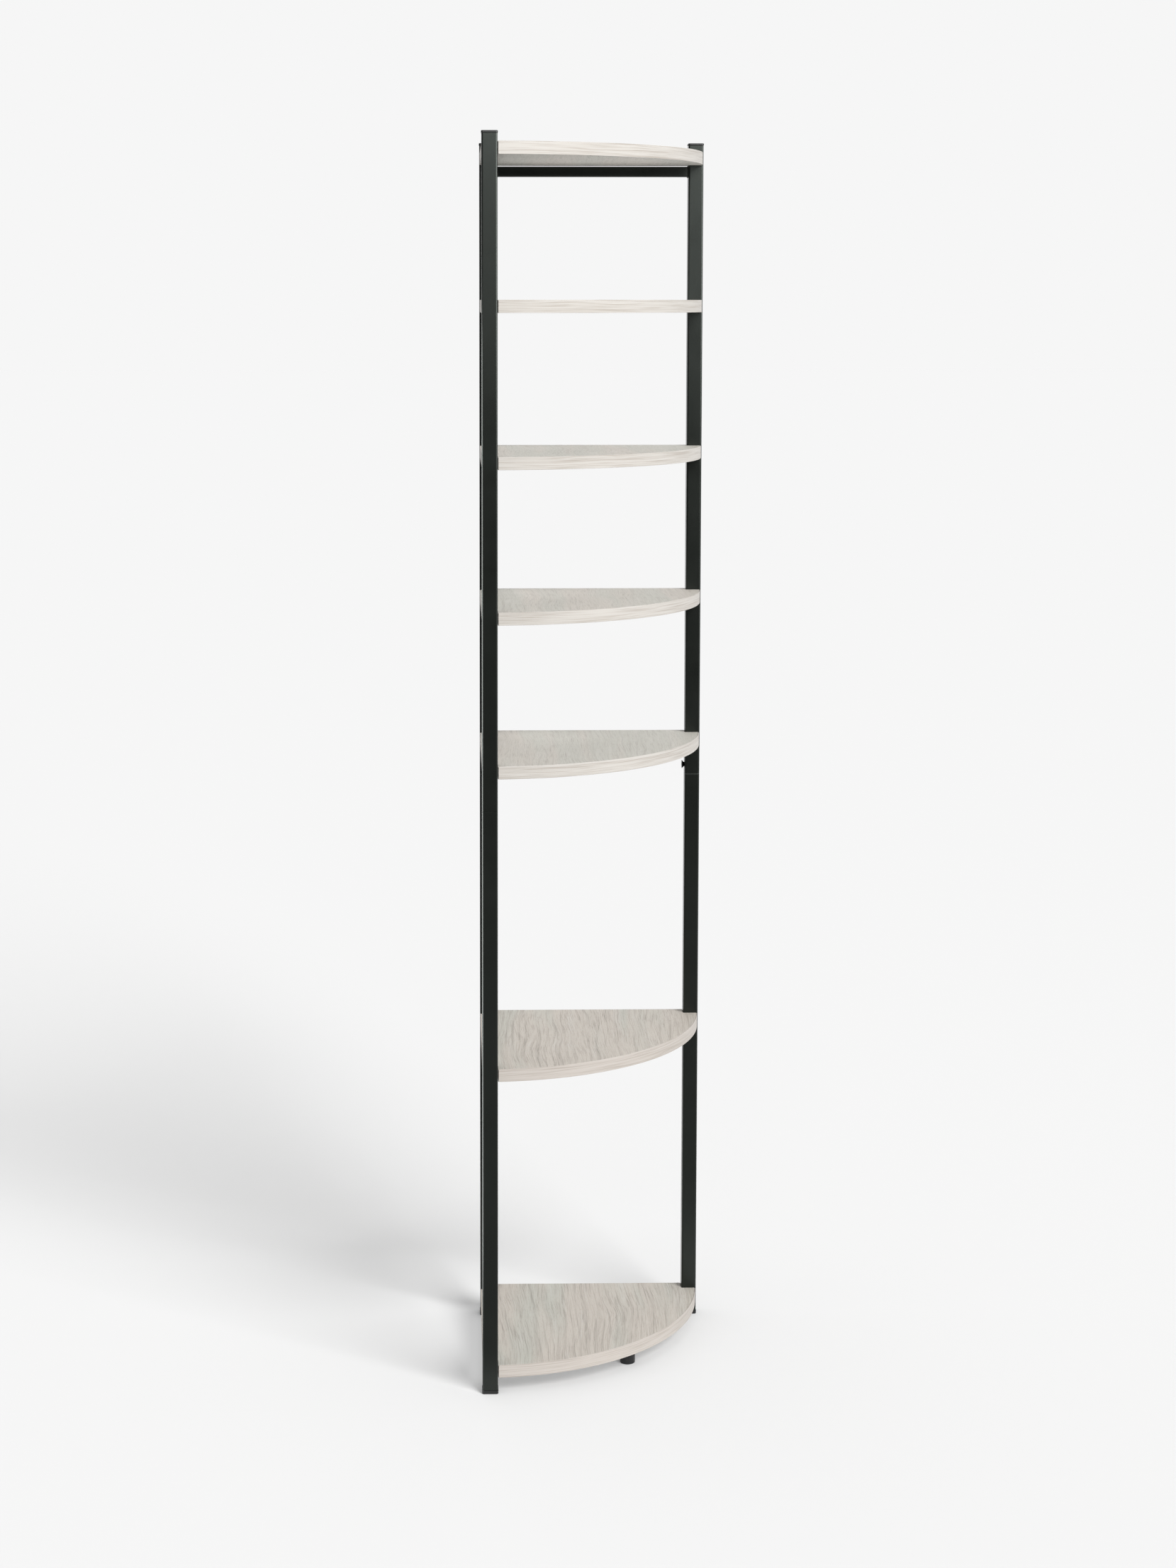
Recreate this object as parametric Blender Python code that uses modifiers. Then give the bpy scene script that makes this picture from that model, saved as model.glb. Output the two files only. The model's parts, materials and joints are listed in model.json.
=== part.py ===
"""Corner shelving unit: seven quarter-round shelves on three square steel posts.

Blender 4.5, metres, +Z up. The back wall is on the +Y side and the left wall on the
-X side, and the rounded front faces -Y and +X. The origin is on the floor, midway
between the posts' outer faces.
"""

import math

import bmesh
import bpy
from mathutils import Vector

MM = 0.001

# Overall frame
SIDE = 330 * MM  # width and depth over the posts' outer faces
FLOOR_GAP = 23.5 * MM  # clear height under the bottom board
PITCH = 215 * MM  # from shelf to shelf in the low bays
BAYS = (2, 2, 1, 1, 1, 1)  # heights of the bays in pitches, from the floor up
POST_RISE = 14 * MM  # the posts stand this far above the top shelf
TOUCH = 0.3 * MM  # gap between two pieces that touch

# Square tubes of the posts
TUBE = 22 * MM
TUBE_WALL = 1.2 * MM
TUBE_CORNER = 2.5 * MM  # outside radius of the tube's corners
CORNER_SEGMENTS = 2

# Shelf boards and their edge bands
BOARD = 18 * MM
EDGE_BAND = 1 * MM
EDGE_INSET = 0.5 * MM  # the straight edges stand back this far from the walls
ARC_INSET = 0.5 * MM  # the rounded edge stands back this far from the posts' outer faces
ARC_SEGMENTS = 32  # in a quarter turn
BAND_END = 1.2 * MM  # the band stops this far from the posts

# Rails under the top shelf
RAIL = 15 * MM
RAIL_WALL = 1.2 * MM
RAIL_CORNER = 1.5 * MM
RAIL_DROP = 1.8 * MM  # gap between the top board and a rail

# Seam between the upper and lower tubes, with the sleeve and screw that hold it
JOINT_SHELF = 2  # the shelf above the seam, counted from the floor, the bottom one being 0
JOINT_DROP = 63.5 * MM  # the seam lies this far below that shelf's top
SLEEVE_WALL = 2 * MM
SLEEVE_CLEARANCE = 0.3 * MM
SLEEVE_BELOW = 45 * MM  # how deep the sleeve sits in the lower tube
SLEEVE_HEADROOM = 6 * MM  # between the sleeve and the underside of the board above it
JOINT_SCREW = 6 * MM
JOINT_SCREW_RISE = 13 * MM  # above the seam
JOINT_SCREW_END = 2 * MM  # stands out of the sleeve's wall inside
JOINT_HEAD = 12 * MM
JOINT_HEAD_STAND = 4 * MM  # the flared head stands this far out of the tube
JOINT_HEAD_RIM = 0.8 * MM
JOINT_SOCKET = 4 * MM  # across the flats
JOINT_SOCKET_DEPTH = 2.2 * MM

# Screws that hold the boards to the posts
SCREW = 5 * MM
SCREW_HEAD = 9 * MM
SCREW_HEAD_HEIGHT = 2.8 * MM
SCREW_HEAD_EASE = 0.6 * MM
SCREW_BITE = 25 * MM  # length in the board
SCREW_TIP = 5 * MM
SCREW_SOCKET = 3 * MM  # across the flats
SCREW_SOCKET_DEPTH = 1.6 * MM
ACCESS_HOLE = 11 * MM  # in the wall-side face of the post, for the head and the key

# Plug caps at the top of the posts and glides at their feet
PLUG_CLEARANCE = 0.3 * MM
PLUG_WALL = 2 * MM
CAP_HEAD = 3 * MM
CAP_PROUD = 0.5 * MM  # wider than the tube on each side
CAP_EASE = 0.8 * MM
GLIDE_BASE = 5 * MM
GLIDE_PROUD = 0.6 * MM
GLIDE_EASE = 1 * MM

# Round foot under the bottom board
FOOT = 22 * MM
FOOT_EDGE = 28 * MM  # from the foot's centre to the rounded edge
FOOT_EASE = 1 * MM
FOOT_RECESS = 9 * MM  # depth of the recess for the screw's head
FOOT_SCREW_COVER = 5 * MM  # the screw ends this far below the shelf's top

OVERRUN = 5 * MM  # cutters reach this far past what they cut
MERGE = 0.01 * MM  # points this close are one
TURN_STEPS = 12
FOOT_STEPS = 24
DRILL_SIDES = 10
ACCESS_SIDES = 14
SHARP_ANGLE = 50  # degrees between faces, past which an edge stays sharp
ROUND_PROFILE = 0.5  # the bevel tool's shape value for a round edge

# What follows from the sizes above
HALF = SIDE / 2
SHELF_TOPS = [FLOOR_GAP + BOARD + PITCH * sum(BAYS[:level]) for level in range(len(BAYS) + 1)]
TOP_SHELF = SHELF_TOPS[-1]
POST_TOP = TOP_SHELF + POST_RISE
JOINT_Z = SHELF_TOPS[JOINT_SHELF] - JOINT_DROP
TUBE_INSIDE = TUBE - 2 * TUBE_WALL
INNER_CORNER = max(TUBE_CORNER - TUBE_WALL, MERGE)
BAND_RADIUS = SIDE - ARC_INSET
BOARD_RADIUS = BAND_RADIUS - EDGE_BAND - TOUCH
RAIL_TOP = TOP_SHELF - BOARD - RAIL_DROP

# The posts' centres, and for each the side of the wall that its shelf screws come from
# and the side that faces another post, where its joint screw sits
POSTS = {
    "corner": ((-HALF + TUBE / 2, HALF - TUBE / 2), (0, 1, 0), (1, 0, 0)),
    "front": ((-HALF + TUBE / 2, -HALF + TUBE / 2), (-1, 0, 0), (0, 1, 0)),
    "right": ((HALF - TUBE / 2, HALF - TUBE / 2), (0, 1, 0), (-1, 0, 0)),
}


def new_material(name, color, roughness, metallic=0):
    material = bpy.data.materials.new(name)
    material.use_nodes = True
    shader = material.node_tree.nodes["Principled BSDF"]
    shader.inputs["Base Color"].default_value = (*color, 1)
    shader.inputs["Roughness"].default_value = roughness
    shader.inputs["Metallic"].default_value = metallic
    return material


def shade_round(mesh):
    """Shades the mesh smooth, with its corners kept sharp."""
    mesh.shade_smooth()
    mesh.set_sharp_from_angle(angle=math.radians(SHARP_ANGLE))


def new_object(name, bm, collection, material=None):
    """An object made of the bmesh, which is used up."""
    bmesh.ops.recalc_face_normals(bm, faces=bm.faces)
    mesh = bpy.data.meshes.new(name)
    bm.to_mesh(mesh)
    bm.free()
    if material:
        mesh.materials.append(material)
    shade_round(mesh)
    made = bpy.data.objects.new(name, mesh)
    collection.objects.link(made)
    return made


def combine(target, operation, tool):
    step = target.modifiers.new(tool.name, "BOOLEAN")
    step.operation = operation
    step.solver = "EXACT"
    step.object = tool


def add_box(bm, low, high):
    """A box between two corners, added to the bmesh. Returns its vertices."""
    low, high = Vector(low), Vector(high)
    made = bmesh.ops.create_cube(bm, size=1)["verts"]
    bmesh.ops.scale(bm, vec=high - low, verts=made)
    bmesh.ops.translate(bm, vec=(low + high) / 2, verts=made)
    return made


def add_bar(bm, side, corner, start, end, centre=(0, 0), axis=2):
    """A square bar with rounded long edges from start to end along the axis, added to the bmesh.

    The centre gives its place across the axis, in the order of the two other axes.
    """
    across = [i for i in range(3) if i != axis]
    low, high = Vector((0, 0, 0)), Vector((0, 0, 0))
    low[axis], high[axis] = start, end
    for i, middle in zip(across, centre):
        low[i], high[i] = middle - side / 2, middle + side / 2
    made = add_box(bm, low, high)
    edges = {edge for vert in made for edge in vert.link_edges}
    long_edges = [e for e in edges if abs(e.verts[0].co[axis] - e.verts[1].co[axis]) > MERGE]
    bmesh.ops.bevel(
        bm,
        geom=long_edges,
        offset=min(corner, side / 2 - MERGE),
        offset_type="OFFSET",
        segments=CORNER_SEGMENTS,
        profile=ROUND_PROFILE,
        affect="EDGES",
    )


def add_drill(bm, radius, sides, start, end):
    """A cylinder from one point to another, added to the bmesh."""
    start, end = Vector(start), Vector(end)
    made = bmesh.ops.create_cone(
        bm,
        cap_ends=True,
        segments=sides,
        radius1=radius,
        radius2=radius,
        depth=(end - start).length,
    )["verts"]
    turn = Vector((0, 0, 1)).rotation_difference(end - start).to_matrix()
    bmesh.ops.rotate(bm, cent=(0, 0, 0), matrix=turn, verts=made)
    bmesh.ops.translate(bm, vec=(start + end) / 2, verts=made)


def turned(name, profile, steps, collection, material=None, closed=False):
    """A shape turned about Z from its outline, which runs down its outer side from the top."""
    bm = bmesh.new()
    points = [bm.verts.new((radius, 0, height)) for radius, height in profile]
    for first, second in zip(points, points[1:]):
        bm.edges.new((first, second))
    if closed:
        bm.edges.new((points[-1], points[0]))
    mesh = bpy.data.meshes.new(name)
    bm.to_mesh(mesh)
    bm.free()
    if material:
        mesh.materials.append(material)
    made = bpy.data.objects.new(name, mesh)
    collection.objects.link(made)
    turn = made.modifiers.new("turn", "SCREW")
    turn.axis = "Z"
    turn.angle = 2 * math.pi
    turn.steps = steps
    turn.render_steps = steps
    turn.use_merge_vertices = True
    turn.merge_threshold = MERGE
    turn.use_smooth_shade = False
    return made


def baked_mesh(made, name):
    """The object's mesh with its modifiers applied. The object itself is removed."""
    bpy.context.view_layer.update()
    seen = made.evaluated_get(bpy.context.evaluated_depsgraph_get())
    mesh = bpy.data.meshes.new_from_object(seen)
    mesh.name = name
    shade_round(mesh)
    bpy.data.objects.remove(made)
    return mesh


def place(name, mesh, location, direction, collection):
    """A copy of the mesh whose +Z points in the direction."""
    made = bpy.data.objects.new(name, mesh)
    made.location = location
    made.rotation_mode = "QUATERNION"
    made.rotation_quaternion = Vector((0, 0, 1)).rotation_difference(Vector(direction))
    collection.objects.link(made)
    return made


def screw_mesh(name, head_outline, shank, length, tip, socket, socket_depth, material, tools):
    """A screw along Z, head up, with a hexagon socket. Its bearing face is at height 0."""
    head_top = head_outline[0][1]
    outline = [
        *head_outline,
        (shank / 2, 0),
        (shank / 2, tip - length),
        (shank / 4, -length),
        (0, -length),
    ]
    screw = turned(name, outline, TURN_STEPS, tools, material)
    bm = bmesh.new()
    socket_radius = socket / math.sqrt(3)
    add_drill(bm, socket_radius, 6, (0, 0, head_top - socket_depth), (0, 0, head_top + OVERRUN))
    key = new_object(name + "_key", bm, tools)
    combine(screw, "DIFFERENCE", key)
    mesh = baked_mesh(screw, name)
    bpy.data.objects.remove(key)
    return mesh


def board_screw(name, length, steel, tools):
    """The mesh of a wood screw with a flat round head. The length is what lies under the head."""
    head_outline = [
        (0, SCREW_HEAD_HEIGHT),
        (SCREW_HEAD / 2 - SCREW_HEAD_EASE, SCREW_HEAD_HEIGHT),
        (SCREW_HEAD / 2, SCREW_HEAD_HEIGHT - SCREW_HEAD_EASE),
        (SCREW_HEAD / 2, 0),
    ]
    return screw_mesh(
        name,
        head_outline,
        SCREW,
        length,
        SCREW_TIP,
        SCREW_SOCKET,
        SCREW_SOCKET_DEPTH,
        steel,
        tools,
    )


def screw_line(post, height):
    """Where a post's shelf screw runs: a point on the wall-side face, and the way out of it."""
    (x, y), out, _ = POSTS[post]
    out = Vector(out)
    return Vector((x, y, height)) + out * TUBE / 2, out


def make_tools(tools):
    """The cutters that several pieces share."""
    shared = {}
    top, bottom = POST_TOP + OVERRUN, -OVERRUN

    for name, gap in (("board_notches", TOUCH), ("band_notches", BAND_END)):
        bm = bmesh.new()
        for (x, y), _, _ in POSTS.values():
            reach = TUBE / 2 + gap
            add_box(bm, (x - reach, y - reach, bottom), (x + reach, y + reach, top))
        shared[name] = new_object(name, bm, tools)

    bm = bmesh.new()
    for (x, y), _, _ in POSTS.values():
        add_bar(bm, TUBE_INSIDE, INNER_CORNER, bottom, top, (x, y))
    shared["bores"] = new_object("bores", bm, tools)

    bm = bmesh.new()
    add_box(
        bm,
        (-HALF + EDGE_INSET, -SIDE, bottom),
        (SIDE, HALF - EDGE_INSET, top),
    )
    shared["quarter"] = new_object("quarter", bm, tools)

    access, drills = bmesh.new(), bmesh.new()
    for shelf_top in SHELF_TOPS:
        for post in POSTS:
            face, out = screw_line(post, shelf_top - BOARD / 2)
            middle = face - out * TUBE / 2
            board_side = face - out * (TUBE + TOUCH)
            add_drill(access, ACCESS_HOLE / 2, ACCESS_SIDES, middle, face + out * OVERRUN)
            bottom_of_hole = board_side - out * (SCREW_BITE + TOUCH)
            add_drill(drills, SCREW / 2 + TOUCH, DRILL_SIDES, bottom_of_hole, middle)
    shared["access_holes"] = new_object("access_holes", access, tools)
    shared["screw_holes"] = new_object("screw_holes", drills, tools)

    bm = bmesh.new()
    for (x, y), _, inward in POSTS.values():
        middle = Vector((x, y, JOINT_Z + JOINT_SCREW_RISE))
        outside = middle + Vector(inward) * (TUBE / 2 + OVERRUN)
        add_drill(bm, JOINT_SCREW / 2 + TOUCH, ACCESS_SIDES, middle, outside)
    shared["joint_holes"] = new_object("joint_holes", bm, tools)
    return shared


def make_posts(unit, tools, shared, steel):
    """The upper and lower tube of each post."""
    spans = {
        "lower": (GLIDE_BASE + TOUCH, JOINT_Z - TOUCH / 2),
        "upper": (JOINT_Z + TOUCH / 2, POST_TOP - CAP_HEAD - TOUCH),
    }
    for post, ((x, y), _, _) in POSTS.items():
        for part, (start, end) in spans.items():
            bm = bmesh.new()
            add_bar(bm, TUBE, TUBE_CORNER, 0, end - start)
            tube = new_object(f"{post}_post_{part}", bm, unit, steel)
            tube.location = (x, y, start)
            combine(tube, "DIFFERENCE", shared["bores"])
            combine(tube, "DIFFERENCE", shared["access_holes"])
            combine(tube, "DIFFERENCE", shared["screw_holes"])
            if part == "upper":
                combine(tube, "DIFFERENCE", shared["joint_holes"])


def make_joints(unit, tools, shared, steel, black_screw):
    """The sleeve across each seam, and the screw that holds it in the upper tube."""
    side = TUBE_INSIDE - 2 * SLEEVE_CLEARANCE
    corner = max(INNER_CORNER - SLEEVE_CLEARANCE, MERGE)
    start = JOINT_Z - SLEEVE_BELOW
    end = SHELF_TOPS[JOINT_SHELF] - BOARD - SLEEVE_HEADROOM
    grip = TUBE_WALL + SLEEVE_CLEARANCE + SLEEVE_WALL + JOINT_SCREW_END
    outline = [
        (0, JOINT_HEAD_STAND),
        (JOINT_HEAD / 2, JOINT_HEAD_STAND),
        (JOINT_HEAD / 2, JOINT_HEAD_STAND - JOINT_HEAD_RIM),
    ]
    screw = screw_mesh(
        "joint_screw",
        outline,
        JOINT_SCREW,
        grip,
        JOINT_SCREW_END / 2,
        JOINT_SOCKET,
        JOINT_SOCKET_DEPTH,
        black_screw,
        tools,
    )
    for post, ((x, y), _, inward) in POSTS.items():
        bm = bmesh.new()
        add_bar(bm, side, corner, 0, end - start)
        sleeve = new_object(f"{post}_joint_sleeve", bm, unit, steel)
        sleeve.location = (x, y, start)
        bm = bmesh.new()
        add_bar(bm, side - 2 * SLEEVE_WALL, corner, start - OVERRUN, end + OVERRUN, (x, y))
        bore = new_object(f"{post}_sleeve_bore", bm, tools)
        combine(sleeve, "DIFFERENCE", bore)
        combine(sleeve, "DIFFERENCE", shared["joint_holes"])
        face = Vector((x, y, JOINT_Z + JOINT_SCREW_RISE)) + Vector(inward) * TUBE / 2
        place(f"{post}_joint_screw", screw, face, inward, unit)


def plugged_end(name, side, corner, outer, inner, plug_end, ease, at, unit, tools, material):
    """A tube's end piece: a flat head between the heights outer and inner, and a hollow plug.

    The plug runs from the head to the height plug_end, inside the tube. The head's far rim
    is eased.
    """
    bm = bmesh.new()
    add_bar(bm, side, corner, min(outer, inner), max(outer, inner))
    rim = [e for e in bm.edges if all(abs(v.co.z - outer) < MERGE for v in e.verts)]
    bmesh.ops.bevel(
        bm,
        geom=rim,
        offset=ease,
        offset_type="OFFSET",
        segments=2,
        profile=ROUND_PROFILE,
        affect="EDGES",
    )
    head = new_object(name, bm, unit, material)
    plug_side = TUBE_INSIDE - 2 * PLUG_CLEARANCE
    plug_corner = max(INNER_CORNER - PLUG_CLEARANCE, MERGE)
    root = (outer + inner) / 2
    bm = bmesh.new()
    add_bar(bm, plug_side, plug_corner, min(root, plug_end), max(root, plug_end))
    plug = new_object(name + "_plug", bm, tools)
    past = plug_end + math.copysign(OVERRUN, plug_end - root)
    bm = bmesh.new()
    add_bar(bm, plug_side - 2 * PLUG_WALL, plug_corner, min(inner, past), max(inner, past))
    hollow = new_object(name + "_hollow", bm, tools)
    for piece in (head, plug, hollow):
        piece.location = (*at, 0)
    combine(head, "UNION", plug)
    combine(head, "DIFFERENCE", hollow)


def make_ends(unit, tools, plastic):
    """The plug cap and the glide of each post."""
    for post, (at, _, _) in POSTS.items():
        plugged_end(
            f"{post}_post_cap",
            TUBE + 2 * CAP_PROUD,
            TUBE_CORNER + CAP_PROUD,
            POST_TOP,
            POST_TOP - CAP_HEAD,
            TOP_SHELF,
            CAP_EASE,
            at,
            unit,
            tools,
            plastic,
        )
        plugged_end(
            f"{post}_post_glide",
            TUBE + 2 * GLIDE_PROUD,
            TUBE_CORNER + GLIDE_PROUD,
            0,
            GLIDE_BASE,
            FLOOR_GAP,
            GLIDE_EASE,
            at,
            unit,
            tools,
            plastic,
        )


def make_rails(unit, tools, steel):
    """The two rails under the top shelf, between the corner post and the two others."""
    height = RAIL_TOP - RAIL / 2
    start, end = -HALF + TUBE + TOUCH, HALF - TUBE - TOUCH
    line = HALF - TUBE / 2
    for name, axis, centre in (
        ("back_rail", 0, (line, height)),
        ("left_rail", 1, (-line, height)),
    ):
        bm = bmesh.new()
        add_bar(bm, RAIL, RAIL_CORNER, start, end, centre, axis)
        rail = new_object(name, bm, unit, steel)
        bm = bmesh.new()
        inner_corner = max(RAIL_CORNER - RAIL_WALL, MERGE)
        inside = RAIL - 2 * RAIL_WALL
        add_bar(bm, inside, inner_corner, start - OVERRUN, end + OVERRUN, centre, axis)
        bore = new_object(name + "_bore", bm, tools)
        combine(rail, "DIFFERENCE", bore)


def make_shelves(unit, tools, shared, laminate, edging, screw_steel):
    """The boards from the top down, their edge bands and screws. Returns the bottom board."""
    bm = bmesh.new()
    add_drill(bm, BOARD_RADIUS, 4 * ARC_SEGMENTS, (0, 0, 0), (0, 0, BOARD))
    board_disc = new_object("board_disc", bm, tools, laminate)
    bm = bmesh.new()
    add_drill(bm, BAND_RADIUS, 4 * ARC_SEGMENTS, (0, 0, 0), (0, 0, BOARD))
    band_disc = new_object("band_disc", bm, tools, edging)
    bm = bmesh.new()
    inside = BAND_RADIUS - EDGE_BAND
    add_drill(bm, inside, 4 * ARC_SEGMENTS, (0, 0, -OVERRUN), (0, 0, POST_TOP))
    core = new_object("band_core", bm, tools)
    core.location = (-HALF, HALF, 0)

    length = TOUCH + TUBE_WALL + TOUCH + SCREW_BITE
    screw = board_screw("shelf_screw", length, screw_steel, tools)
    for number, shelf_top in enumerate(reversed(SHELF_TOPS), start=1):
        board = bpy.data.objects.new(f"shelf_{number}_board", board_disc.data)
        band = bpy.data.objects.new(f"shelf_{number}_edge_band", band_disc.data)
        for piece, notches in ((board, "board_notches"), (band, "band_notches")):
            piece.location = (-HALF, HALF, shelf_top - BOARD)
            unit.objects.link(piece)
            combine(piece, "INTERSECT", shared["quarter"])
            combine(piece, "DIFFERENCE", shared[notches])
        combine(band, "DIFFERENCE", core)
        combine(board, "DIFFERENCE", shared["screw_holes"])
        for post in POSTS:
            face, out = screw_line(post, shelf_top - BOARD / 2)
            seat = face - out * (TUBE - TUBE_WALL - TOUCH)
            place(f"shelf_{number}_{post}_screw", screw, seat, out, unit)
    bpy.data.objects.remove(board_disc)
    bpy.data.objects.remove(band_disc)
    return board


def make_foot(unit, tools, bottom_board, plastic, screw_steel):
    """The round foot under the bottom board, and its screw."""
    out = (BAND_RADIUS - FOOT_EDGE) / math.sqrt(2)
    at = Vector((-HALF + out, HALF - out, 0))
    top = FLOOR_GAP - TOUCH
    shaft = SCREW / 2 + TOUCH
    recess = SCREW_HEAD / 2 + TOUCH
    outline = [
        (FOOT / 2, top),
        (FOOT / 2, FOOT_EASE),
        (FOOT / 2 - FOOT_EASE, 0),
        (recess, 0),
        (recess, FOOT_RECESS),
        (shaft, FOOT_RECESS),
        (shaft, top),
    ]
    foot = turned("foot_form", outline, FOOT_STEPS, tools, plastic, closed=True)
    place("centre_foot", baked_mesh(foot, "centre_foot"), at, (0, 0, 1), unit)

    seat = FOOT_RECESS - TOUCH
    tip = FLOOR_GAP + BOARD - FOOT_SCREW_COVER
    screw = board_screw("foot_screw", tip - seat, screw_steel, tools)
    place("centre_foot_screw", screw, at + Vector((0, 0, seat)), (0, 0, -1), unit)
    bm = bmesh.new()
    low = at + Vector((0, 0, -OVERRUN))
    add_drill(bm, shaft, DRILL_SIDES, low, at + Vector((0, 0, tip + TOUCH)))
    hole = new_object("foot_screw_hole", bm, tools)
    combine(bottom_board, "DIFFERENCE", hole)


def main():
    for old in list(bpy.data.objects):
        bpy.data.objects.remove(old)
    unit = bpy.data.collections.new("corner_shelving_unit")
    tools = bpy.data.collections.new("cutters")
    for collection in (unit, tools):
        bpy.context.scene.collection.children.link(collection)

    steel = new_material("black_powder_coat", (0.022, 0.023, 0.023), 0.5)
    plastic = new_material("black_plastic", (0.018, 0.018, 0.019), 0.45)
    black_screw = new_material("black_screw_steel", (0.03, 0.03, 0.032), 0.35, 1)
    screw_steel = new_material("zinc_plated_steel", (0.62, 0.62, 0.6), 0.35, 1)
    laminate = new_material("grey_oak_laminate", (0.56, 0.52, 0.47), 0.5)
    edging = new_material("grey_oak_edging", (0.63, 0.59, 0.54), 0.5)

    shared = make_tools(tools)
    make_posts(unit, tools, shared, steel)
    make_joints(unit, tools, shared, steel, black_screw)
    make_ends(unit, tools, plastic)
    make_rails(unit, tools, steel)
    bottom_board = make_shelves(unit, tools, shared, laminate, edging, screw_steel)
    make_foot(unit, tools, bottom_board, plastic, screw_steel)

    for tool in tools.objects:
        tool.hide_render = True
        tool.display_type = "WIRE"
    holder = bpy.data.objects.new("corner_unit_origin", None)
    bpy.context.scene.collection.objects.link(holder)
    for piece in unit.objects:
        piece.parent = holder


main()
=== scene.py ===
# %% [markdown]
# # A corner shelving unit, dressed for the camera
#
# The unit stands in the corner of a room: seven quarter-round oak-faced shelves on three
# black square steel posts. Its measured CAD model is loaded first and never changed. Round
# it this lesson models each piece again the way a maker would finish it, with soft edges,
# real holes and smooth curves, and gives each piece a surface made of nodes.
#
# The back wall would be on the +Y side and the left wall on the -X side. The camera looks
# along +Y from slightly left of the unit.

import json
import math

import bmesh
import bpy
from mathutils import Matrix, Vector

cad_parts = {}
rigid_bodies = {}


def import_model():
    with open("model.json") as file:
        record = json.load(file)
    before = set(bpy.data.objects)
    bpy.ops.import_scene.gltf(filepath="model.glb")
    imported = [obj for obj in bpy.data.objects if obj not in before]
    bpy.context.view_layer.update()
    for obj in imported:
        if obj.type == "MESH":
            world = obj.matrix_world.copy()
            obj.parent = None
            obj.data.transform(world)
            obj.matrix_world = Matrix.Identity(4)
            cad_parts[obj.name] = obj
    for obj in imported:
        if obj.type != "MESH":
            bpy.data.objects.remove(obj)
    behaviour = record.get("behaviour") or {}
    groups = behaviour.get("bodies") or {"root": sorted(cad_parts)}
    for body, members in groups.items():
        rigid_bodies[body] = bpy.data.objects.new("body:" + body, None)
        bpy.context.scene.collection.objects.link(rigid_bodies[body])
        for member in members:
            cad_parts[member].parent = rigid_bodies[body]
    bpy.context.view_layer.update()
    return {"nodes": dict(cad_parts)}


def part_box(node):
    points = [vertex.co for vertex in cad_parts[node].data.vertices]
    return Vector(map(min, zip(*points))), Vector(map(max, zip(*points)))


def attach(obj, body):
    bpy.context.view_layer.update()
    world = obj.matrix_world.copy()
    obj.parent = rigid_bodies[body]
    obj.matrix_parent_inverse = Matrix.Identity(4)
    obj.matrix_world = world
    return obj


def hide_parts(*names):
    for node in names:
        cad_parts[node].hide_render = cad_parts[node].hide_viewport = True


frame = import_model()
MM = 0.001
POSTS = ("corner", "front", "right")
SHELVES = range(1, 8)  # from the top down
NEAR = 0.01 * MM  # what counts as the same place when faces and edges are picked

# %% [markdown]
# ## Camera and light
#
# The photograph is a catalogue picture: a long lens, nearly level, from about four metres
# away, with the picture shifted so that the posts stay nearly upright. The lens is worked
# out from the focal length in pixels, so that the frame matches at any render size.
#
# The room is even and bright, with one large soft key light at the front right that sends
# a wide, faint shadow back and to the left. An even world gives the first, and a sun lamp
# with a large disc gives the second. A sun lights the whole floor alike, so the floor
# keeps one tone up to the horizon, where the world takes over in the same tone.
#
# In the photograph the upper shelves are a little brighter than the lower ones, and the
# black posts shine near their tops and are deep black at half height. So a small lamp
# hangs close to the top, and a black card, as photographers hold up to darken glossy
# things, stands in front. Only reflections see the card.

# %% Camera
PHOTO_HEIGHT = 2212  # pixels
FOCAL_LENGTH = 3896  # pixels
SENSOR = 36  # mm, on the picture's long side

bpy.ops.object.camera_add(
    location=(-0.204, -3.952, 1.542),
    rotation=(math.radians(90 - 5.73), 0, math.radians(-1.17)),
)
camera = bpy.context.active_object
camera.name = "photo_camera"
camera.data.sensor_width = SENSOR
camera.data.lens = FOCAL_LENGTH / PHOTO_HEIGHT * SENSOR
camera.data.shift_x = 0.05
camera.data.shift_y = -0.13
bpy.context.scene.camera = camera
print("lens in mm:", round(camera.data.lens, 2))

# %% Lights
ROOM_LIGHT = 0.922  # radiance that shows as the photograph's background
FLOOR_TONE = 0.5  # share of the light that the floor gives back
KEY_HEIGHT = 34  # degrees above the floor
KEY_SIDE = 36  # degrees to the right of the -Y direction
KEY_SIZE = 34  # degrees across the soft lamp
TOP_SPOT = Vector((0.15, -0.95, 2.0))
TOP_AIM = Vector((0.0, 0.0, 1.65))
TOP_SIDES = (0.9, 0.3)  # width and height
TOP_GLOW = 3.6  # radiance

world = bpy.data.worlds.new("bright_room")
world.use_nodes = True
world.node_tree.nodes["Background"].inputs["Color"].default_value = (1, 1, 1, 1)
world.node_tree.nodes["Background"].inputs["Strength"].default_value = ROOM_LIGHT
bpy.context.scene.world = world
bpy.context.scene.view_settings.view_transform = "Standard"


def hide_from(thing, *sights):
    """Hides an object from some kinds of rays."""
    for sight in sights:
        setattr(thing, f"visible_{sight}", False)


def new_lamp(name, kind, spot, towards):
    """A lamp at one point that shines towards another, unseen itself."""
    turn = (towards - spot).to_track_quat("-Z", "Y").to_euler()
    bpy.ops.object.light_add(type=kind, location=spot, rotation=turn)
    lamp = bpy.context.active_object
    lamp.name = name
    hide_from(lamp, "camera")
    return lamp


def new_panel(name, spot, towards, sides, glow):
    """A flat rectangular lamp of a given radiance."""
    panel = new_lamp(name, "AREA", spot, towards)
    panel.data.shape = "RECTANGLE"
    panel.data.size, panel.data.size_y = sides
    panel.data.energy = glow * math.pi * sides[0] * sides[1]
    return panel


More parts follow.
